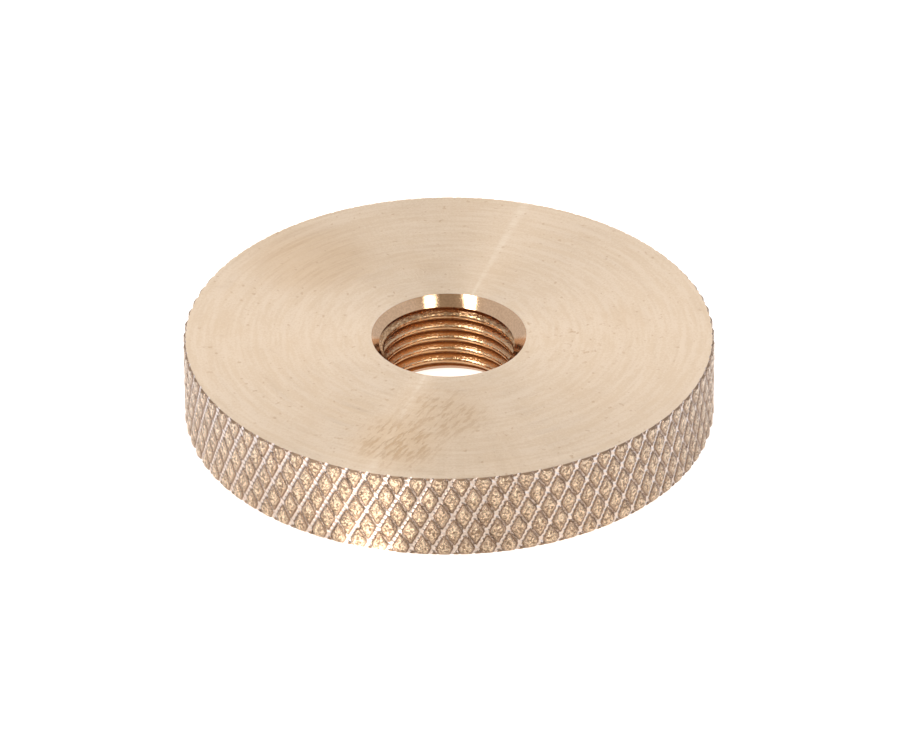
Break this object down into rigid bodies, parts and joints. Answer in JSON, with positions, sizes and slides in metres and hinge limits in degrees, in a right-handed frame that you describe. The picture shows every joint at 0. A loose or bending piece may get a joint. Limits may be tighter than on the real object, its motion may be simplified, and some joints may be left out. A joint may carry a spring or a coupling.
{
  "type": "knurled lock nut",
  "caption": "Flat round brass lock nut: a turned disc with a diamond-knurled rim and a central threaded, countersunk hole, done up by hand on a threaded rod.",
  "frame": {"origin": "centre of the lower face, on the thread's axis", "axes": "+Z runs along the thread's axis, out of the upper face; X and Y lie in the lower face"},
  "size_m": [0.0381, 0.0381, 0.0063],
  "materials": {
    "brass": "bare brass: fine lathe-turned faces, polished countersinks, rolled diamond knurl on the rim, tapped thread"
  },
  "bodies": {
    "root": {"knurled_nut": "brass"}
  },
  "joints": []
}
